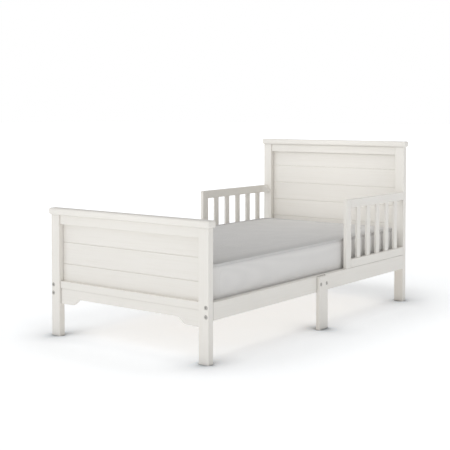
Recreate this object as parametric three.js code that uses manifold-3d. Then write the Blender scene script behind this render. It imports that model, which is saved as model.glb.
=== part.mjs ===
// Toddler bed: panelled headboard and footboard, side rails in two halves joined at a
// centre leg, a slatted guard on each side at the head end, and a mattress on cross slats.
// Millimetres, +Z up, head end toward +Y, left is -X; it stands on Z = 0, centred on X and Y.
import * as THREE from 'three';
import { mergeVertices } from 'three/addons/utils/BufferGeometryUtils.js';
import { ConvexGeometry } from 'three/addons/geometries/ConvexGeometry.js';
import manifoldModule from 'manifold-3d';

// ---- driving dimensions -------------------------------------------------------------
const FIT = 0.3;                    // clearance between pieces that touch
const LENGTH = 1411;                // over the faces of the end posts
const WIDTH = 750;                  // over the sides of the posts
const HEAD_HEIGHT = 707;            // top of the headboard cap
const FOOT_HEIGHT = 479;            // top of the footboard cap
const POST = { wide: 43, deep: 26 };
const CAP = { thick: 25, over: 8, round: 7, corner: 9 };
const END_RAIL = { setback: 5, top: 35, bottom: 27 };
const PLANK = { tall: 80.5, thick: 5, lap: 13, bevel: 1.8 };
const APRON = { setback: 8, thick: 12, flat: 61, curve: 38, centre: 34.5, drop: 23.5 };
const RAIL = { bottom: 144.5, tall: 62, thick: 22 };
const RAIL_JOINT = -6;              // where the foot and head halves of the rails meet
const LEG = { wide: 61, thick: 17, housing: 4, loose: 1, below: 3 };
const BED = { slats: 6, wide: 80, thick: 12, below: 18.5, endGap: 60 };
const CLEAT = { wide: 18, tall: 20, endGap: 6 };
const GUARD = { length: 492.5, tall: 277, thick: 15, rail: 34.5, stile: 37 };
const GUARD_SLAT = { count: 5, wide: 29, thick: 9, setback: 3 };
const LUG = { reach: 22, run: 34, shoulder: 11 };
const BOLT = { head: 14, headThick: 4, shank: 6, loose: 0.8, apart: 31, intoRail: 34 };
const MATTRESS = { sideGap: 3, endGap: 19.5, thick: 136, corner: 38, edge: 14 };
const EASE = 1.6;                   // eased long edges of the timber

// ---- sizes that follow ----------------------------------------------------------------
const FOOT_FACE = -LENGTH / 2;                      // foot-facing side of each end
const HEAD_FACE = LENGTH / 2 - POST.deep;
const INSIDE_FOOT = FOOT_FACE + POST.deep;
const END_RAIL_THICK = POST.deep - END_RAIL.setback - PLANK.thick - FIT;    // planks lie behind the rails
const POST_INNER = WIDTH / 2 - POST.wide;
const RAIL_TOP = RAIL.bottom + RAIL.tall;
const RAIL_INNER = WIDTH / 2 - RAIL.thick;
const RAIL_MID = RAIL.bottom + RAIL.tall / 2;
const LEG_INNER = WIDTH / 2 - LEG.housing;
const BOLT_X = WIDTH / 2 - RAIL.thick / 2;
const BOLT_HEIGHTS = [RAIL_MID - BOLT.apart / 2, RAIL_MID + BOLT.apart / 2];
const BED_TOP = RAIL_TOP - BED.below;
const GUARD_FOOT = HEAD_FACE - GUARD.length;
const SIDES = [['left', -1], ['right', 1]];

const PAINT = 0xf0eee8;
const manifold = await manifoldModule();
manifold.setup();

// ---- drawing helpers --------------------------------------------------------------------
// Each turns a section drawn in (u, v) and run along w so that w lies on the named axis.
const TURN = {
  x: new THREE.Matrix4().set(0, 0, 1, 0, 1, 0, 0, 0, 0, 1, 0, 0, 0, 0, 0, 1),
  y: new THREE.Matrix4().set(0, 1, 0, 0, 0, 0, 1, 0, 1, 0, 0, 0, 0, 0, 0, 1),
  z: new THREE.Matrix4(),
};

function roundedRect([u0, u1], [v0, v1], radius, steps = 3) {
  const points = [];
  const corners = [[u1, v1, 0], [u0, v1, 1], [u0, v0, 2], [u1, v0, 3]];
  for (const [u, v, quarter] of corners) {
    const cu = u === u1 ? u - radius : u + radius;
    const cv = v === v1 ? v - radius : v + radius;
    for (let i = 0; i <= steps; i++) {
      const a = (quarter + i / steps) * Math.PI / 2;
      points.push(new THREE.Vector2(cu + radius * Math.cos(a), cv + radius * Math.sin(a)));
    }
  }
  return new THREE.Shape(points);
}

function run(shape, from, to, axis, curveSegments = 12) {
  const geometry = new THREE.ExtrudeGeometry(shape, { depth: to - from, bevelEnabled: false, curveSegments });
  geometry.translate(0, 0, from);
  return geometry.applyMatrix4(TURN[axis]);
}

// A squared timber with its four long edges eased; the grain runs along `axis`.
function timber(x, y, z, axis, ease = EASE) {
  const [u, v, w] = { x: [y, z, x], y: [z, x, y], z: [x, y, z] }[axis];
  return run(roundedRect(u, v, ease), w[0], w[1], axis);
}

function rod(u, v, from, to, diameter, axis) {
  const shape = new THREE.Shape();
  shape.absarc(u, v, diameter / 2, 0, Math.PI * 2);
  return run(shape, from, to, axis, 10);
}

// A slab lying flat with every edge rounded over.
function slab([x0, x1], [y0, y1], [z0, z1], corner, edge, steps = 4) {
  const shape = roundedRect([x0 + edge, x1 - edge], [y0 + edge, y1 - edge], corner - edge, steps);
  const geometry = new THREE.ExtrudeGeometry(shape, {
    depth: z1 - z0 - 2 * edge, bevelSize: edge, bevelThickness: edge, bevelSegments: steps,
  });
  return geometry.translate(0, 0, z0 + edge);
}

// ---- joins and cuts ---------------------------------------------------------------------
function toSolid(geometry) {
  const bare = new THREE.BufferGeometry().setAttribute('position', geometry.getAttribute('position'));
  if (geometry.index) bare.setIndex(geometry.index);
  const welded = mergeVertices(bare, 1e-4);
  return new manifold.Manifold(new manifold.Mesh({
    numProp: 3,
    vertProperties: new Float32Array(welded.getAttribute('position').array),
    triVerts: new Uint32Array(welded.index.array),
  }));
}

function toGeometry(solid) {
  const mesh = solid.getMesh();
  const geometry = new THREE.BufferGeometry();
  geometry.setAttribute('position', new THREE.BufferAttribute(mesh.vertProperties, 3));
  geometry.setIndex(new THREE.BufferAttribute(mesh.triVerts, 1));
  const flat = geometry.toNonIndexed();
  flat.computeVertexNormals();
  return flat;
}

const cut = (body, tools) => toGeometry(toSolid(body).subtract(manifold.Manifold.union(tools.map(toSolid))));
const join = (parts) => toGeometry(manifold.Manifold.union(parts.map(toSolid)));

// ---- the assembly -----------------------------------------------------------------------
const bed = new THREE.Group();
bed.name = 'toddler_bed';

function add(name, geometry, color = PAINT, roughness = 0.45, metalness = 0) {
  const material = new THREE.MeshStandardMaterial({ color, roughness, metalness });
  material.name = name;
  const mesh = new THREE.Mesh(geometry, material);
  mesh.name = name;
  bed.add(mesh);
}

const across = [-POST_INNER + FIT, POST_INNER - FIT];
const sideways = (side, a, b) => (side > 0 ? [a, b] : [-b, -a]);

// Bored for the two bolts that hold a side rail: a seat for the head, then a clear hole.
function boltBores(side, face) {
  return BOLT_HEIGHTS.flatMap((z) => [
    rod(z, side * BOLT_X, face - 1, face + BOLT.headThick + FIT, BOLT.head + BOLT.loose, 'y'),
    rod(z, side * BOLT_X, face, face + POST.deep + BOLT.intoRail + FIT, BOLT.shank + BOLT.loose, 'y'),
  ]);
}

function addPosts(end, face, height, bored) {
  for (const [hand, side] of SIDES) {
    const post = timber(sideways(side, POST_INNER, WIDTH / 2), [face, face + POST.deep],
      [0, height - CAP.thick - FIT], 'z', 2.2);
    add(`${end}_post_${hand}`, bored ? cut(post, boltBores(side, face)) : post);
  }
}

function addCap(end, face, height) {
  const half = WIDTH / 2 + CAP.over;
  add(`${end}_cap`, slab([-half, half], [face - CAP.over, face + POST.deep + CAP.over],
    [height - CAP.thick, height], CAP.corner, CAP.round));
}

// A panel board: the face toward the foot is bevelled along both long edges.
function plankSection(y0, y1, z0, z1) {
  const b = PLANK.bevel;
  const corners = [[y0 + b, z0], [y1, z0], [y1, z1], [y0 + b, z1], [y0, z1 - b], [y0, z0 + b]];
  return new THREE.Shape(corners.map(([y, z]) => new THREE.Vector2(y, z)));
}

// Planks are laid from the top down; the lowest takes what height is left.
function addPlanks(end, back, bottom, top) {
  const count = Math.max(1, Math.floor((top - bottom) / PLANK.tall + 0.67));
  for (let i = 0; i < count; i++) {
    const z1 = top - i * PLANK.tall - (i ? FIT : 0);
    const z0 = i === count - 1 ? bottom : top - (i + 1) * PLANK.tall;
    add(`${end}_plank_${i + 1}`, run(plankSection(back - PLANK.thick, back, z0, z1), ...across, 'x'));
  }
}

function addEndPanel(end, face, height) {
  const front = face + END_RAIL.setback;
  const depth = [front, front + END_RAIL_THICK];
  const top = height - CAP.thick - FIT;
  const opening = height - CAP.thick - END_RAIL.top;
  add(`${end}_top_rail`, timber(across, depth, [opening, top], 'x'));
  addPlanks(end, face + POST.deep, RAIL_TOP - PLANK.lap - FIT, opening + PLANK.lap);
  add(`${end}_bottom_rail`, timber(across, depth, [RAIL_TOP - END_RAIL.bottom, RAIL_TOP - FIT], 'x'));
}

// The footboard apron: flat beside each post, then a scroll up to the raised middle.
function addApron(face) {
  const top = RAIL_TOP - END_RAIL.bottom - FIT;
  const middle = top + FIT - APRON.centre;
  const low = middle - APRON.drop;
  const end = across[1];
  const scroll = [];
  for (let i = 0; i <= 10; i++) {
    const t = i / 10;
    scroll.push([end - APRON.flat - APRON.curve * t, low + APRON.drop * t * t * (3 - 2 * t)]);
  }
  const rightHalf = [[end, top], [end, low], ...scroll];
  const leftHalf = rightHalf.map(([x, z]) => [-x, z]).reverse();
  const outline = [...rightHalf, ...leftHalf].map(([x, z]) => new THREE.Vector2(z, x));
  const front = face + APRON.setback;
  add('foot_apron', run(new THREE.Shape(outline), front, front + APRON.thick, 'y'));
}

// One half of a side rail, housed on its outer face where the centre leg crosses it.
function addRailHalf(end, hand, side) {
  const foot = end === 'foot';
  const y = foot ? [INSIDE_FOOT + FIT, RAIL_JOINT - FIT / 2] : [RAIL_JOINT + FIT / 2, HEAD_FACE - FIT];
  const half = LEG.wide / 2 + LEG.loose;
  const rail = timber(sideways(side, RAIL_INNER, WIDTH / 2), y, [RAIL.bottom, RAIL_TOP], 'y', 2);
  const housing = timber(sideways(side, LEG_INNER - FIT, WIDTH / 2 + 5),
    [RAIL_JOINT - half, RAIL_JOINT + half], [RAIL.bottom - 5, RAIL_TOP + 5], 'z', 0.2);
  const legBolt = rod(RAIL_JOINT + (foot ? -1 : 1) * LEG.wide / 3, RAIL_MID,
    ...sideways(side, RAIL_INNER + 3, WIDTH / 2), BOLT.shank + BOLT.loose, 'x');
  const bores = foot ? boltBores(side, FOOT_FACE) : [];
  add(`side_rail_${end}_${hand}`, cut(rail, [housing, legBolt, ...bores]));
}

function addCentreLeg(hand, side) {
  const outer = LEG_INNER + LEG.thick;
  const leg = timber(sideways(side, LEG_INNER, outer), [RAIL_JOINT - LEG.wide / 2, RAIL_JOINT + LEG.wide / 2],
    [0, RAIL_TOP - LEG.below], 'z', 2);
  const bores = [-1, 1].flatMap((step) => {
    const y = RAIL_JOINT + step * LEG.wide / 3;
    return [
      rod(y, RAIL_MID, ...sideways(side, outer - BOLT.headThick - FIT, outer + 1), BOLT.head + BOLT.loose, 'x'),
      rod(y, RAIL_MID, ...sideways(side, LEG_INNER - 1, outer), BOLT.shank + BOLT.loose, 'x'),
    ];
  });
  add(`centre_leg_${hand}`, cut(leg, bores));
}

function addBolt(name, u, v, head, tip, axis) {
  const inward = Math.sign(tip - head);
  const seat = head + inward * BOLT.headThick;
  const order = (a, b) => [Math.min(a, b), Math.max(a, b)];
  const cap = rod(u, v, ...order(head, seat), BOLT.head, axis);
  const shank = rod(u, v, ...order(seat - inward, tip), BOLT.shank, axis);
  add(name, join([cap, shank]), 0xa9a6a1, 0.4, 0.9);
}

function addBolts() {
  for (const [hand, side] of SIDES) {
    ['lower', 'upper'].forEach((level, i) => addBolt(`foot_bolt_${hand}_${level}`,
      BOLT_HEIGHTS[i], side * BOLT_X, FOOT_FACE + 0.2, INSIDE_FOOT + BOLT.intoRail, 'y'));
    [['foot', -1], ['head', 1]].forEach(([end, step]) => addBolt(`leg_bolt_${hand}_${end}`,
      RAIL_JOINT + step * LEG.wide / 3, RAIL_MID,
      side * (LEG_INNER + LEG.thick - 0.2), side * (RAIL_INNER + 4), 'x'));
  }
}

// Strips inside the rails carry the cross slats, and the slats carry the mattress.
function addMattressSupport() {
  const cleatTop = BED_TOP - BED.thick - FIT;
  for (const [hand, side] of SIDES) {
    add(`cleat_${hand}`, timber(sideways(side, RAIL_INNER - CLEAT.wide - FIT, RAIL_INNER - FIT),
      [INSIDE_FOOT + CLEAT.endGap, HEAD_FACE - CLEAT.endGap], [cleatTop - CLEAT.tall, cleatTop], 'y'), 0xd9c39a);
  }
  const first = INSIDE_FOOT + BED.endGap;
  const pitch = (HEAD_FACE - BED.endGap - BED.wide - first) / (BED.slats - 1);
  for (let i = 0; i < BED.slats; i++) {
    const y = first + i * pitch;
    add(`bed_slat_${i + 1}`, timber([-RAIL_INNER + 1, RAIL_INNER - 1], [y, y + BED.wide],
      [BED_TOP - BED.thick, BED_TOP], 'x'), 0xd9c39a);
  }
}

// The head end of a guard's top rail thickens inward to a lug with a sloping shoulder.
function lug(side, z0, z1) {
  const inner = WIDTH / 2 - GUARD.thick;
  const end = HEAD_FACE - FIT;
  const points = [];
  for (const z of [z0, z1]) {
    points.push([inner + 2, end - LUG.run, z], [inner, end - LUG.run, z], [inner + 2, end, z]);
  }
  points.push([inner - LUG.reach, end, z0], [inner - LUG.reach, end, z0 + LUG.shoulder], [inner - 3, end, z1]);
  return new ConvexGeometry(points.map(([x, y, z]) => new THREE.Vector3(side * x, y, z)));
}

function addGuard(hand, side) {
  const outer = WIDTH / 2;
  const x = sideways(side, outer - GUARD.thick, outer);
  const z0 = RAIL_TOP + FIT;
  const z1 = z0 + GUARD.tall;
  const stileEnd = GUARD_FOOT + GUARD.stile;
  const along = [stileEnd + FIT, HEAD_FACE - FIT];
  add(`guard_${hand}_stile`, timber(x, [GUARD_FOOT, stileEnd], [z0, z1], 'z'));
  add(`guard_${hand}_bottom_rail`, timber(x, along, [z0, z0 + GUARD.rail], 'y'));
  add(`guard_${hand}_top_rail`, join([timber(x, along, [z1 - GUARD.rail, z1], 'y'),
    lug(side, z1 - GUARD.rail, z1)]));
  const gap = (HEAD_FACE - stileEnd - GUARD_SLAT.count * GUARD_SLAT.wide) / (GUARD_SLAT.count + 1);
  const slatX = sideways(side, outer - GUARD_SLAT.setback - GUARD_SLAT.thick, outer - GUARD_SLAT.setback);
  for (let i = 0; i < GUARD_SLAT.count; i++) {
    const y = stileEnd + gap + i * (GUARD_SLAT.wide + gap);
    add(`guard_${hand}_slat_${i + 1}`, timber(slatX, [y, y + GUARD_SLAT.wide],
      [z0 + GUARD.rail + FIT, z1 - GUARD.rail - FIT], 'z', 1.2));
  }
}

function addMattress() {
  const half = RAIL_INNER - MATTRESS.sideGap;
  add('mattress', slab([-half, half], [INSIDE_FOOT + MATTRESS.endGap, HEAD_FACE - MATTRESS.endGap],
    [BED_TOP + FIT, BED_TOP + FIT + MATTRESS.thick], MATTRESS.corner, MATTRESS.edge), 0xb9bbbf, 0.9);
}

addPosts('foot', FOOT_FACE, FOOT_HEIGHT, true);
addCap('foot', FOOT_FACE, FOOT_HEIGHT);
addEndPanel('foot', FOOT_FACE, FOOT_HEIGHT);
addApron(FOOT_FACE);
addPosts('head', HEAD_FACE, HEAD_HEIGHT, false);
addCap('head', HEAD_FACE, HEAD_HEIGHT);
addEndPanel('head', HEAD_FACE, HEAD_HEIGHT);
for (const [hand, side] of SIDES) {
  addRailHalf('foot', hand, side);
  addRailHalf('head', hand, side);
  addCentreLeg(hand, side);
  addGuard(hand, side);
}
addBolts();
addMattressSupport();
addMattress();

export default bed;
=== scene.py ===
"""Toddler bed: paint, bare wood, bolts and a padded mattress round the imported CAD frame."""
import math
import random

import bmesh
import bpy
import numpy as np
from mathutils import Matrix, Vector, noise


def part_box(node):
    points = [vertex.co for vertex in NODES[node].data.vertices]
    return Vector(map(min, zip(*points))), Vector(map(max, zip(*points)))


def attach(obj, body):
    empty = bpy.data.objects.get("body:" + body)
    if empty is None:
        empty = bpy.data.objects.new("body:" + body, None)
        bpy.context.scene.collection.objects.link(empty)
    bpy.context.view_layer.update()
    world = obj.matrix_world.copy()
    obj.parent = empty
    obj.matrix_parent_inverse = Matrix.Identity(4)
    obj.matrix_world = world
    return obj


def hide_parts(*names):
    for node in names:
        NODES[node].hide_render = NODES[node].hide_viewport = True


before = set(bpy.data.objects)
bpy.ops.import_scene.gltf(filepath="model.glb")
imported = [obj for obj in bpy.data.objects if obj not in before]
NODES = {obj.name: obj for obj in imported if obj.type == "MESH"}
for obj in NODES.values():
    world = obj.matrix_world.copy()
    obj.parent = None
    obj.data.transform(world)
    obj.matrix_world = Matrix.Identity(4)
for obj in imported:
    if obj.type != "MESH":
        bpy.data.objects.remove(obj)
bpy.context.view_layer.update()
MM = 0.001

# ---- photograph's viewpoint ----------------------------------------------------------
CAMERA_PLACE = (2.3288, -3.1766, 0.8302)
CAMERA_YAW = 0.65184
CAMERA_PITCH = 0.04552          # radians below the horizon
LENS = 77.442
SHIFT_Y = -0.15

# ---- lights --------------------------------------------------------------------------
SUNS = (                        # azimuth, elevation, strength, spread; angles in degrees
    ("front", 0, 5, 0.04, 40),
    ("key", -35, 14, 0.23, 40),
    ("fill", 80, 14, 0.138, 50),
    ("high", -15, 50, 0.48, 50),
    ("top", -15, 76, 0.34, 50),
)
BEAM_PLACE = (0, -3.4, 1.75)    # in front of the bed, over the footboard
BEAM_AIM = (0, 0.69, 0.55)      # middle of the headboard's panel
BEAM_POWER = 172
BEAM_CONE = 15.5                # degrees
STUDIO_LIGHT = 0.44             # strength of the white surroundings on the bed

# ---- tones ---------------------------------------------------------------------------
PAINT = (0.862, 0.837, 0.790)
PAINT_WARM = (0.844, 0.815, 0.764)
PAINT_EDGE = (0.80, 0.765, 0.702)
# painted shade for the inside corners and joints
CREVICE_SHADE = (0.36, 0.34, 0.31)
FLOOR = (0.870, 0.888, 0.905)
# painted shade and shadow: the floor's tone under the bed and round the feet
FLOOR_UNDER_SHADE = (0.868, 0.915, 0.970)
FLOOR_CONTACT_SHADOW = (0.33, 0.345, 0.36)
PINE = (0.66, 0.50, 0.32)
PINE_DARK = (0.50, 0.34, 0.19)
PINE_KNOT = (0.26, 0.14, 0.07)
# painted shade: the top cloth is set darker than the border cloth, for the top getting less light
COVER_TOP_SHADED = (0.735, 0.725, 0.710)
COVER_SIDE_LIT = (0.870, 0.856, 0.838)
WELT = (0.70, 0.69, 0.68)
NICKEL = (0.54, 0.525, 0.50)
NICKEL_SPECK = (0.33, 0.32, 0.30)
NICKEL_RUBBED = (0.62, 0.60, 0.57)

# ---- sizes ---------------------------------------------------------------------------
PAINT_EDGE_REACH = 2.2 * MM     # how far the thin paint reaches from an edge
# how far the painted shade spreads from inside corners and joints
CREVICE_SHADE_REACH = 6 * MM
BOLT_HEAD_RADIUS = 7 * MM
BOLT_HEAD_THICK = 4 * MM
BOLT_SHANK_RADIUS = 3 * MM
BACK_HEAD_THICK = 2.6 * MM      # the headboard's bolts, seen from behind
BACK_BOLT_REACH = 3.4 * MM
STITCH_PITCH = 9 * MM
STITCH_SHARE = 0.67             # of the pitch that the thread shows
STITCH_INSET = 7 * MM
# the two reaches below also set how far painted shade darkens the cloth in from a seam
TOP_GATHER_AND_SHADE = 70 * MM            # how far in from a seam the cloth is gathered
BORDER_GATHER_AND_SHADE = 20 * MM
MATTRESS_CORNER = 36 * MM
MATTRESS_PULL = 3.5 * MM        # how far its sides draw in between the corners
SWELL_CAPS = (3.2 * MM, 3.2 * MM, 9.0 * MM)
UNEVENNESS = 1.3 * MM
WELT_RADIUS = 3.0 * MM
WELT_OUT = 1.2 * MM             # how far the welts stand out from the seams
FLOOR_HALF = 60
FLOOR_DROP = 0.4 * MM           # keeps the floor clear of the feet
# reaches of the floor's painted shadow and of the dip in its glow
FLOOR_NEAR = 0.16               # reach of the dark round the feet
FLOOR_WIDE = 0.45               # reach of the shade beside the bed


# ---- shader helpers ------------------------------------------------------------------
class Shader:
    """A material under construction: nodes are made with their values, then linked."""

    def __init__(self, name, roughness=0.5, color=(0.8, 0.8, 0.8), metallic=0.0):
        self.material = bpy.data.materials.new(name)
        self.material.use_nodes = True
        self.tree = self.material.node_tree
        self.bsdf = self.tree.nodes["Principled BSDF"]
        self.bsdf.inputs["Roughness"].default_value = roughness
        self.bsdf.inputs["Base Color"].default_value = (*color, 1)
        self.bsdf.inputs["Metallic"].default_value = metallic
        self.material.diffuse_color = (*color, 1)

    def node(self, kind, inputs=(), **settings):
        n = self.tree.nodes.new("ShaderNode" + kind)
        for key, value in settings.items():
            setattr(n, key, value)
        for key, value in dict(inputs).items():
            self.feed(n, key, value)
        return n

    def feed(self, n, key, value):
        socket = n.inputs[key]
        if isinstance(value, bpy.types.NodeSocket):
            self.tree.links.new(value, socket)
        else:
            socket.default_value = value

    def place(self, scale, offset=(0, 0, 0)):
        coord = self.node("TexCoord")
        return self.node("Mapping", {"Vector": coord.outputs["Object"], "Scale": scale,
                                     "Location": offset}).outputs["Vector"]

    def noise(self, vector, scale, detail=3.0, rough=0.5, distortion=0.0):
        return self.node("TexNoise", {"Vector": vector, "Scale": scale, "Detail": detail,
                                      "Roughness": rough, "Distortion": distortion}).outputs["Fac"]

    def ramp(self, value, low, high, to_low=0.0, to_high=1.0):
        return self.node("MapRange", {"Value": value, "From Min": low, "From Max": high,
                                      "To Min": to_low, "To Max": to_high}).outputs["Result"]

    def math(self, operation, a, b=0.0):
        return self.node("Math", {0: a, 1: b}, operation=operation).outputs["Value"]

    def mix(self, factor, a, b):
        n = self.node("Mix", data_type="RGBA")
        self.feed(n, 0, factor)
        for key, value in ((6, a), (7, b)):
            self.feed(n, key, value if isinstance(value, bpy.types.NodeSocket) else (*value, 1))
        return n.outputs[2]

    def bump(self, height, strength, distance, normal=None):
        inputs = {"Height": height, "Strength": strength, "Distance": distance}
        if normal is not None:
            inputs["Normal"] = normal
        return self.node("Bump", inputs).outputs["Normal"]

    def out(self, **sockets):
        names = {"color": "Base Color", "roughness": "Roughness", "normal": "Normal"}
        for key, value in sockets.items():
            self.feed(self.bsdf, names[key], value)
        return self.material


def along(grain, run, cross):
    """A mapping scale that stretches a texture along the grain axis."""
    return tuple(run if axis == grain else cross for axis in "xyz")


def edge_mask(s, radius):
    """1 near an edge of the timber and 0 on its flats, from the angle a bevel would turn."""
    bevel = s.node("Bevel", {"Radius": radius}, samples=4)
    true = s.node("NewGeometry")
    dot = s.node("VectorMath", {0: bevel.outputs["Normal"], 1: true.outputs["Normal"]},
                 operation="DOT_PRODUCT").outputs["Value"]
    return s.ramp(dot, 0.995, 0.80)


def crevice_shade_mask(s, reach, amount):
    """Painted shade from ambient occlusion: rises from 0 on open faces to amount in the inside
    corners and joints.
    """
    near = s.node("AmbientOcclusion", {"Distance": reach}, samples=8)
    return s.ramp(near.outputs["AO"], 0.92, 0.42, 0.0, amount)


def painted(name, grain, rng, crevice_shade):
    """Sprayed satin paint over timber: the grain shows faintly through it."""
    s = Shader(name, roughness=0.42, color=PAINT)
    offset = tuple(rng.uniform(-9, 9) for _ in range(3))
    fibre = s.noise(s.place(along(grain, 5, 190), offset), 1.0, 5, 0.6, 0.6)
    figure = s.noise(s.place(along(grain, 1.6, 22), offset), 1.0, 3, 0.5, 1.2)
    cloud = s.noise(s.place((1, 1, 1), offset), 5.0, 2)
    peel = s.noise(s.place((1, 1, 1), offset), 620.0, 2)
    edge = edge_mask(s, PAINT_EDGE_REACH)
    tone = s.mix(s.ramp(cloud, 0.3, 0.7, 0.0, 0.55), PAINT, PAINT_WARM)
    tone = s.mix(s.ramp(figure, 0.50, 0.72, 0.0, 0.32), tone, PAINT_WARM)
    tone = s.mix(s.ramp(fibre, 0.50, 0.76, 0.0, 0.45), tone, PAINT_EDGE)
    worn = s.math("MULTIPLY", edge, s.ramp(cloud, 0.35, 0.75, 0.15, 0.55))
    tone = s.mix(worn, tone, PAINT_EDGE)
    # painted shade: inside corners and joints darkened by ambient occlusion
    tone = s.mix(crevice_shade_mask(s, CREVICE_SHADE_REACH, crevice_shade), tone, CREVICE_SHADE)
    grain_relief = s.bump(fibre, 0.40, 0.4 * MM, s.bump(figure, 0.3, 0.8 * MM))
    relief = s.bump(peel, 0.10, 0.15 * MM, grain_relief)
    return s.out(color=tone, roughness=s.ramp(fibre, 0.3, 0.8, 0.36, 0.52), normal=relief)


def bare(name, grain, rng):
    """Planed softwood with growth bands, darker fibres and a few knots."""
    s = Shader(name, roughness=0.62, color=PINE)
    offset = tuple(rng.uniform(-9, 9) for _ in range(3))
    figure = s.noise(s.place(along(grain, 0.9, 16), offset), 1.0, 3, 0.55, 2.0)
    bands = s.math("FRACT", s.math("MULTIPLY", figure, 9.0))
    fibre = s.noise(s.place(along(grain, 8, 420), offset), 1.0, 4, 0.6)
    knots = s.node("TexVoronoi", {"Vector": s.place(along(grain, 1.5, 5), offset), "Scale": 1.0,
                                  "Randomness": 1.0}).outputs["Distance"]
    tone = s.mix(s.ramp(bands, 0.55, 0.98, 0.0, 0.65), PINE, PINE_DARK)
    tone = s.mix(s.ramp(fibre, 0.5, 0.8, 0.0, 0.4), tone, PINE_DARK)
    tone = s.mix(s.ramp(knots, 0.10, 0.02, 0.0, 0.8), tone, PINE_KNOT)
    relief = s.bump(fibre, 0.35, 0.3 * MM, s.bump(bands, 0.15, 0.3 * MM))
    return s.out(color=tone, roughness=s.ramp(fibre, 0.3, 0.8, 0.55, 0.72), normal=relief)


def bolt_metal():
    """Satin nickel: fine brushed speckle, brighter where the rim is rubbed."""
    s = Shader("bolt_finish", roughness=0.36, color=NICKEL, metallic=0.9)
    speck = s.noise(s.place((1, 1, 1)), 900.0, 3)
    tone = s.mix(s.ramp(speck, 0.35, 0.75, 0.0, 0.35), NICKEL, NICKEL_SPECK)
    tone = s.mix(s.math("MULTIPLY", edge_mask(s, 0.6 * MM), 0.4), tone, NICKEL_RUBBED)
    return s.out(color=tone, roughness=s.ramp(speck, 0.3, 0.7, 0.28, 0.46),
                 normal=s.bump(speck, 0.12, 0.05 * MM))


def cover_cloth(name, color, threads=1.0, seam=None, reach=0.0, gather=(1, 1, 1), stitches=False):
    """A close plain weave with a slight slub, gathered where a seam draws it in and darkened
    toward the seam with painted shade.

    seam gives, from the shader, the distance to the nearest seam."""
    s = Shader(name, roughness=0.88, color=color)
    s.bsdf.inputs["Sheen Weight"].default_value = 0.12
    s.bsdf.inputs["Sheen Roughness"].default_value = 0.6
    flat = s.place((1, 1, 1))
    weave = []
    for direction, turn in (("X", (1, 0.03, 1)), ("Y", (0.03, 1, 1)), ("Z", (1, 1, 1))):
        wave = s.node("TexWave", {"Vector": s.place(turn), "Scale": 320.0 * threads,
                                  "Distortion": 0.6, "Detail": 1.0, "Detail Scale": 2.0},
                      bands_direction=direction)
        weave.append(wave.outputs["Fac"])
    cloth = s.math("MULTIPLY", s.math("ADD", weave[0], weave[1]), s.math("ADD", weave[2], 0.5))
    slub = s.noise(s.place((40, 400, 400)), 1.0, 3)
    soft = s.noise(flat, 7.0, 3)
    fuzz = s.noise(flat, 1500.0, 2)
    dark = tuple(c * 0.90 for c in color)
    tone = s.mix(s.ramp(soft, 0.35, 0.7, 0.0, 0.35), color, dark)
    tone = s.mix(s.ramp(slub, 0.55, 0.8, 0.0, 0.45), tone, dark)
    tone = s.mix(s.ramp(cloth, 0.2, 2.2, 0.35, 0.0), tone, tuple(c * 0.78 for c in color))
    if seam:
        gather_and_shade = s.node("MapRange", {"Value": seam(s), "From Min": 0.0, "From Max": reach,
                                    "To Min": 0.6, "To Max": 0.0},
                       interpolation_type="SMOOTHERSTEP").outputs["Result"]
        # painted shade: the cloth darkens toward each seam
        tone = s.mix(gather_and_shade, tone, tuple(c * 0.68 for c in color))
        pucker = s.math("MULTIPLY", s.noise(s.place(gather), 1.0, 2), gather_and_shade)
        gathered = s.bump(pucker, 0.8, 3.0 * MM)
    else:
        gathered = None
    if stitches:
        thread = stitch_mask(s, seam(s))
        tone = s.mix(thread, tone, tuple(c * 0.62 for c in color))
        gathered = s.bump(thread, 0.5, 0.6 * MM, gathered)
    ground = s.bump(slub, 0.2, 0.4 * MM, gathered)
    relief = s.bump(fuzz, 0.25, 0.15 * MM, s.bump(cloth, 0.35, 0.35 * MM, ground))
    return s.out(color=tone, roughness=s.ramp(slub, 0.3, 0.8, 0.80, 0.95), normal=relief)


def stitch_mask(s, distance):
    """A row of lockstitch a little way in from each seam."""
    apart = s.node("SeparateXYZ", {"Vector": s.node("TexCoord").outputs["Object"]})
    run = s.math("ADD", apart.outputs["X"], apart.outputs["Y"])
    dash = s.math("LESS_THAN", s.math("FRACT", s.math("DIVIDE", run, STITCH_PITCH)), STITCH_SHARE)
    off_row = s.math("ABSOLUTE", s.math("SUBTRACT", distance, STITCH_INSET))
    row = s.ramp(off_row, 0.9 * MM, 0.5 * MM)
    return s.math("MULTIPLY", dash, row)


def plan_distance(half_x, half_y):
    """Distance in from the mattress's outline, for the top and bottom panels."""
    def build(s):
        apart = s.node("SeparateXYZ", {"Vector": s.node("TexCoord").outputs["Object"]})
        sides = [s.math("SUBTRACT", half, s.math("ABSOLUTE", apart.outputs[axis]))
                 for axis, half in (("X", half_x), ("Y", half_y))]
        return s.math("MINIMUM", *sides)
    return build


def height_distance(z0, z1):
    """Distance to the nearer of the two seams, for the border."""
    def build(s):
        z = s.node("SeparateXYZ", {"Vector": s.node("TexCoord").outputs["Object"]}).outputs["Z"]
        return s.math("MINIMUM", s.math("SUBTRACT", z, z0), s.math("SUBTRACT", z1, z))
    return build


# ---- carried-over timber -----------------------------------------------------------------
def grain_of(name):
    """The grain runs along a piece's longest side."""
    lo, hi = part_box(name)
    size = hi - lo
    return "xyz"[max(range(3), key=lambda i: size[i])]


def crevice_shade_of(name):
    """How much painted shade the joints and inside corners get: most round the side rails, the
    centre legs and the apron.
    """
    if name.startswith(("side_rail", "centre_leg", "foot_apron")):
        return 0.60
    if "post" in name:
        return 0.30
    return 0.02


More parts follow.
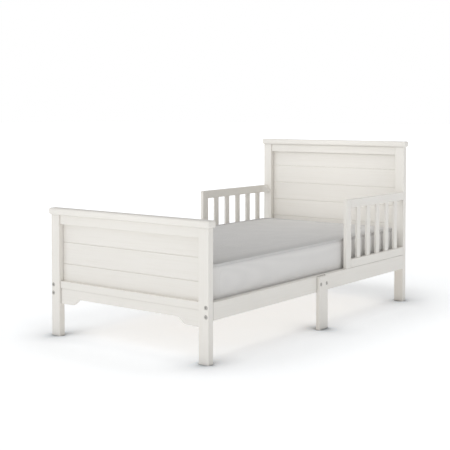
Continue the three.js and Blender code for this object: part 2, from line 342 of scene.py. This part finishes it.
def dress_frame():
    """Every timber piece gets its own paint or bare wood, so that no two share a grain."""
    rng = random.Random(11)
    for name in sorted(NODES):
        if name == "mattress" or "bolt" in name:
            continue
        if name.startswith(("cleat", "bed_slat")):
            material = bare(name + "_finish", grain_of(name), rng)
        else:
            material = painted(name + "_finish", grain_of(name), rng, crevice_shade_of(name))
        mesh = NODES[name].data
        mesh.materials.clear()
        mesh.materials.append(material)


# ---- meshes and bolts ----------------------------------------------------------------
def mesh_object(name, bm, material, smooth=True):
    """Turns the built mesh into an object in the scene and frees it."""
    mesh = bpy.data.meshes.new(name)
    bmesh.ops.recalc_face_normals(bm, faces=bm.faces)
    bm.to_mesh(mesh)
    bm.free()
    for p in mesh.polygons:
        p.use_smooth = smooth
    mesh.materials.append(material)
    obj = bpy.data.objects.new(name, mesh)
    bpy.context.scene.collection.objects.link(obj)
    return obj


def bolt_mesh(radius, thick, shank_radius, reach):
    """Head toward +Z with a domed rim and a hexagon socket; the head's top is at Z = 0."""
    bm = bmesh.new()
    hexagon = radius * 0.42
    turn = 36
    profile = [(shank_radius, -reach), (shank_radius, -thick),
               (radius, -thick), (radius, -thick * 0.35), (radius * 0.94, -thick * 0.14),
               (radius * 0.82, -thick * 0.03), (radius * 0.62, 0.0)]

    def ring(r_at, z):
        return [bm.verts.new((r_at(a) * math.cos(a), r_at(a) * math.sin(a), z))
                for a in (2 * math.pi * i / turn for i in range(turn))]

    def hex_radius(a):
        return hexagon * math.cos(math.pi / 6) / math.cos((a % (math.pi / 3)) - math.pi / 6)

    rings = [ring(lambda a, r=r: r, z) for r, z in profile]
    rings.append(ring(lambda a: hex_radius(a) * 1.06, 0.0))
    rings.append(ring(lambda a: hex_radius(a), -thick * 0.06))
    rings.append(ring(lambda a: hex_radius(a), -thick * 0.7))
    for low, high in zip(rings, rings[1:]):
        for i in range(turn):
            j = (i + 1) % turn
            bm.faces.new((low[i], low[j], high[j], high[i]))
    bm.faces.new(rings[-1])
    bm.faces.new(rings[0][::-1])
    return bm


def put_bolt(name, head, axis, size, material, node=None):
    """axis points out of the head; head is the middle of its outer face."""
    obj = mesh_object(name, bolt_mesh(*size), material, smooth=False)
    turn = Vector(axis).to_track_quat("Z", "Y").to_matrix().to_4x4()
    obj.data.transform(Matrix.Translation(head) @ turn)
    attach(obj, "frame")
    if node:
        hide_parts(node)


def add_bolts():
    """Socket-head bolts in place of the CAD rods, and four more behind the headboard."""
    metal = bolt_metal()
    for name in sorted(n for n in NODES if "bolt" in n):
        lo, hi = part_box(name)
        mid = (lo + hi) / 2
        length = max(hi - lo)
        size = (BOLT_HEAD_RADIUS, BOLT_HEAD_THICK, BOLT_SHANK_RADIUS, length)
        if name.startswith("foot"):
            put_bolt(name + "_detail", (mid.x, lo.y, mid.z), (0, -1, 0), size, metal, name)
        else:
            out = 1 if mid.x > 0 else -1
            x = hi.x if out > 0 else lo.x
            put_bolt(name + "_detail", (x, mid.y, mid.z), (out, 0, 0), size, metal, name)
    size = (BOLT_HEAD_RADIUS, BACK_HEAD_THICK, BOLT_SHANK_RADIUS, BACK_BOLT_REACH)
    for hand in ("left", "right"):
        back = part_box(f"head_post_{hand}")[1].y
        for level in ("lower", "upper"):
            lo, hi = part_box(f"foot_bolt_{hand}_{level}")
            mid = (lo + hi) / 2
            head = (mid.x, back + BACK_HEAD_THICK, mid.z)
            put_bolt(f"head_bolt_{hand}_{level}", head, (0, 1, 0), size, metal)


# ---- mattress ------------------------------------------------------------------------
EDGE_ROWS = (0.0, 3.0, 7.0, 13.0, 22.0, 34.0)     # mm; rows crowd together next to the seams
BORDER_ROWS = EDGE_ROWS[:-1]
CELL = 14.0                                       # mm
SWELL_FRAMES = 20


def spaced(length, rows=EDGE_ROWS):
    """Grid positions from 0 to length, in mm, close together at both ends."""
    inner = length - 2 * rows[-1]
    count = max(1, round(inner / CELL))
    middle = [rows[-1] + inner * i / count for i in range(1, count)]
    return list(rows) + middle + [length - v for v in reversed(rows)]


def mattress_mesh(half_x, half_y, z0, z1, corner, pull):
    """A closed grid box whose sides pull in between rounded corners.

    Returns it with the vertices of its two seam loops and their outline in plan."""
    xs = [v * MM - half_x for v in spaced(2 * half_x / MM)]
    ys = [v * MM - half_y for v in spaced(2 * half_y / MM)]
    zs = [z0 + v * MM for v in spaced((z1 - z0) / MM, BORDER_ROWS)]

    def plan(x, y):
        x, y = (x * (1 - pull / half_x * (1 - (y / half_y) ** 2)),
                y * (1 - pull / half_y * (1 - (x / half_x) ** 2)))
        dx, dy = abs(x) - (half_x - corner), abs(y) - (half_y - corner)
        if dx <= 0 or dy <= 0:
            return x, y
        draw = max(dx, dy) / math.hypot(dx, dy)
        return (math.copysign(half_x - corner + dx * draw, x),
                math.copysign(half_y - corner + dy * draw, y))

    bm = bmesh.new()
    found = {}

    def vert(i, j, k):
        if (i, j, k) not in found:
            found[i, j, k] = bm.verts.new((*plan(xs[i], ys[j]), zs[k]))
        return found[i, j, k]

    def face(corners, material):
        bm.faces.new([vert(*c) for c in corners]).material_index = material

    nx, ny, nz = len(xs) - 1, len(ys) - 1, len(zs) - 1
    for i in range(nx):
        for j in range(ny):
            for k in (0, nz):
                face([(i, j, k), (i + 1, j, k), (i + 1, j + 1, k), (i, j + 1, k)], 0)
    for k in range(nz):
        for i in range(nx):
            for j in (0, ny):
                face([(i, j, k), (i + 1, j, k), (i + 1, j, k + 1), (i, j, k + 1)], 1)
        for j in range(ny):
            for i in (0, nx):
                face([(i, j, k), (i, j + 1, k), (i, j + 1, k + 1), (i, j, k + 1)], 1)
    loop = [(i, 0) for i in range(nx)] + [(nx, j) for j in range(ny)]
    loop += [(i, ny) for i in range(nx, 0, -1)] + [(0, j) for j in range(ny, 0, -1)]
    outline = [plan(xs[i], ys[j]) for i, j in loop]
    bm.verts.index_update()
    seams = [found[i, j, k].index for i, j in loop for k in (0, nz)]
    return bm, seams, outline


def coordinates(obj):
    """The vertices of an object as rows of x, y, z."""
    flat = np.empty(len(obj.data.vertices) * 3)
    obj.data.vertices.foreach_get("co", flat)
    return flat.reshape(-1, 3)


def inflate(obj, pinned, rest, caps):
    """Cloth held along the seams and blown out from inside; caps limit the swelling by axis."""
    group = obj.vertex_groups.new(name="seams")
    group.add(pinned, 1.0, "REPLACE")
    cloth = obj.modifiers.new("cloth", "CLOTH")
    settings = cloth.settings
    settings.quality = 4
    settings.mass = 0.3
    settings.use_pressure = True
    settings.uniform_pressure_force = 4.0
    settings.tension_stiffness = 12
    settings.compression_stiffness = 12
    settings.bending_stiffness = 1.2
    settings.vertex_group_mass = "seams"
    settings.effector_weights.gravity = 0.0
    cloth.collision_settings.use_collision = False
    cloth.point_cache.frame_start, cloth.point_cache.frame_end = 1, SWELL_FRAMES
    for f in range(1, SWELL_FRAMES + 1):
        bpy.context.scene.frame_set(f)
    bpy.context.view_layer.objects.active = obj
    obj.select_set(True)
    bpy.ops.object.modifier_apply(modifier="cloth")
    bpy.context.scene.frame_set(1)
    obj.vertex_groups.clear()
    moved = coordinates(obj) - rest
    for axis, cap in enumerate(caps):
        moved[:, axis] = cap * np.tanh(moved[:, axis] / cap)
    return rest + moved


def tube(name, points, radius, out, material, sides=8):
    """A closed welt of round section round a level loop, standing out from it by out."""
    bm = bmesh.new()
    n = len(points)
    rings = []
    for i, p in enumerate(points):
        ahead, behind = points[(i + 1) % n], points[i - 1]
        t = (Vector(ahead) - Vector(behind)).normalized()
        side = Vector((t.y, -t.x, 0))
        rings.append([bm.verts.new(Vector(p) + out * side
                                   + radius * (math.cos(a) * side + Vector((0, 0, math.sin(a)))))
                      for a in (2 * math.pi * k / sides for k in range(sides))])
    for i in range(n):
        a, b = rings[i], rings[(i + 1) % n]
        for k in range(sides):
            m = (k + 1) % sides
            bm.faces.new((a[k], a[m], b[m], b[k]))
    return mesh_object(name, bm, material)


def add_mattress():
    """A padded cover with a welt along both seams, in place of the plain CAD block."""
    lo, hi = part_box("mattress")
    z0, z1 = lo.z + 1.0 * MM, hi.z - 1.0 * MM
    half_x, half_y = hi.x - 2.5 * MM, hi.y - 3 * MM
    bm, seams, outline = mattress_mesh(half_x, half_y, z0, z1, MATTRESS_CORNER, MATTRESS_PULL)
    pad = mesh_object("mattress_pad", bm, cover_cloth(
        "top_cloth_shaded", COVER_TOP_SHADED, seam=plan_distance(half_x, half_y), reach=TOP_GATHER_AND_SHADE,
        gather=(32, 32, 32)))
    pad.data.materials.append(cover_cloth(
        "border_cloth_lit", COVER_SIDE_LIT, seam=height_distance(z0, z1), reach=BORDER_GATHER_AND_SHADE,
        gather=(48, 48, 6), stitches=True))
    rest = coordinates(pad)
    shape = inflate(pad, seams, rest, SWELL_CAPS)
    upper = np.clip((rest[:, 2] - z0) / (z1 - z0), 0, 1)
    shape[:, 2] += upper * [UNEVENNESS * noise.noise(Vector(v) * 5.5) for v in rest]
    shape[:, 2] = np.maximum(shape[:, 2], lo.z + 0.3 * MM)
    pad.data.vertices.foreach_set("co", shape.ravel())
    pad.data.update()
    smooth = pad.modifiers.new("smooth", "SUBSURF")
    smooth.levels = smooth.render_levels = 1
    bpy.context.view_layer.objects.active = pad
    bpy.ops.object.modifier_apply(modifier="smooth")
    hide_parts("mattress")
    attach(pad, "mattress")
    welt_cloth = cover_cloth("welt_cloth", WELT, 1.6)
    for name, z in (("welt_top", z1 + 0.2 * MM), ("welt_bottom", z0 + 2.0 * MM)):
        points = [(x, y, z) for x, y in outline]
        welt = tube("mattress_" + name, points, WELT_RADIUS, WELT_OUT, welt_cloth)
        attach(welt, "mattress")


# ---- room ----------------------------------------------------------------------------
def add_floor():
    """Pale floor with a glow that sinks beside the bed and round its feet and rises far away; its
    colour carries painted shadow too, cooler under the bed and darker round the feet.
    """
    s = Shader("floor_finish", roughness=0.9, color=FLOOR)
    s.bsdf.inputs["Specular IOR Level"].default_value = 0.0
    s.bsdf.inputs["Emission Color"].default_value = (1, 1, 1, 1)
    near = s.node("AmbientOcclusion", {"Distance": FLOOR_NEAR}, samples=16).outputs["AO"]
    wide = s.node("AmbientOcclusion", {"Distance": FLOOR_WIDE}, samples=16).outputs["AO"]
    point = s.node("TexCoord").outputs["Object"]
    away = s.node("VectorMath", {0: point}, operation="LENGTH").outputs["Value"]
    beside = s.ramp(wide, 0.80, 0.985, 0.26, 0.42)
    under = s.ramp(wide, 0.45, 0.80, 0.19, 0.0)
    spread = s.math("ADD", beside, under)
    contact = s.math("MULTIPLY", s.ramp(near, 0.52, 0.98), spread)
    glow = s.math("ADD", contact, s.ramp(away, 1.4, 5.0, 0.0, 0.30))
    s.feed(s.bsdf, "Emission Strength", glow)
    # painted shadow: the floor's colour turns cooler under the bed and darker round the feet, read
    # from ambient occlusion
    tone = s.mix(s.ramp(wide, 0.5, 0.8), FLOOR_UNDER_SHADE, FLOOR)
    s.out(color=s.mix(s.ramp(near, 0.57, 0.97), FLOOR_CONTACT_SHADOW, tone))
    bm = bmesh.new()
    bmesh.ops.create_grid(bm, x_segments=2, y_segments=2, size=FLOOR_HALF)
    floor = mesh_object("floor", bm, s.material)
    floor.location.z = -FLOOR_DROP


def add_sun(name, azimuth, elevation, energy, spread):
    """A very soft distant light; azimuth 0 is straight in front of the footboard."""
    lamp = bpy.data.lights.new(name, "SUN")
    lamp.energy = energy
    lamp.angle = math.radians(spread)
    sun = bpy.data.objects.new(name, lamp)
    a, e = math.radians(azimuth), math.radians(elevation)
    toward = Vector((-math.sin(a) * math.cos(e), math.cos(a) * math.cos(e), -math.sin(e)))
    sun.rotation_euler = toward.to_track_quat("-Z", "Y").to_euler()
    bpy.context.scene.collection.objects.link(sun)


def add_spot(name, place, at, energy, cone):
    """A soft-edged beam, aimed from far in front so that it falls on one part of the bed."""
    lamp = bpy.data.lights.new(name, "SPOT")
    lamp.energy = energy
    lamp.spot_size = math.radians(cone)
    lamp.spot_blend = 1.0
    lamp.shadow_soft_size = 0.35
    spot = bpy.data.objects.new(name, lamp)
    spot.location = place
    spot.rotation_euler = (Vector(at) - spot.location).to_track_quat("-Z", "Y").to_euler()
    spot.visible_camera = False
    bpy.context.scene.collection.objects.link(spot)


def add_light():
    """The camera sees a white background; the bed is lit by less of it, soft suns and a beam."""
    world = bpy.data.worlds.new("studio")
    bpy.context.scene.world = world
    world.use_nodes = True
    tree = world.node_tree
    background = tree.nodes["Background"]
    background.inputs["Color"].default_value = (1, 1, 1, 1)
    path = tree.nodes.new("ShaderNodeLightPath")
    strength = tree.nodes.new("ShaderNodeMapRange")
    strength.inputs["To Min"].default_value = STUDIO_LIGHT
    strength.inputs["To Max"].default_value = 1.0
    tree.links.new(path.outputs["Is Camera Ray"], strength.inputs["Value"])
    tree.links.new(strength.outputs["Result"], background.inputs["Strength"])
    for sun in SUNS:
        add_sun(*sun)
    add_spot("toward_headboard", BEAM_PLACE, BEAM_AIM, BEAM_POWER, BEAM_CONE)


def add_camera():
    lens = bpy.data.cameras.new("camera")
    lens.lens = LENS
    lens.sensor_width = 36
    lens.shift_y = SHIFT_Y
    lens.clip_end = 200
    camera = bpy.data.objects.new("camera", lens)
    camera.location = CAMERA_PLACE
    camera.rotation_euler = (math.pi / 2 - CAMERA_PITCH, 0, CAMERA_YAW)
    bpy.context.scene.collection.objects.link(camera)
    bpy.context.scene.camera = camera


add_camera()
add_light()
add_floor()
dress_frame()
add_bolts()
add_mattress()
bpy.context.scene.view_settings.view_transform = "Standard"
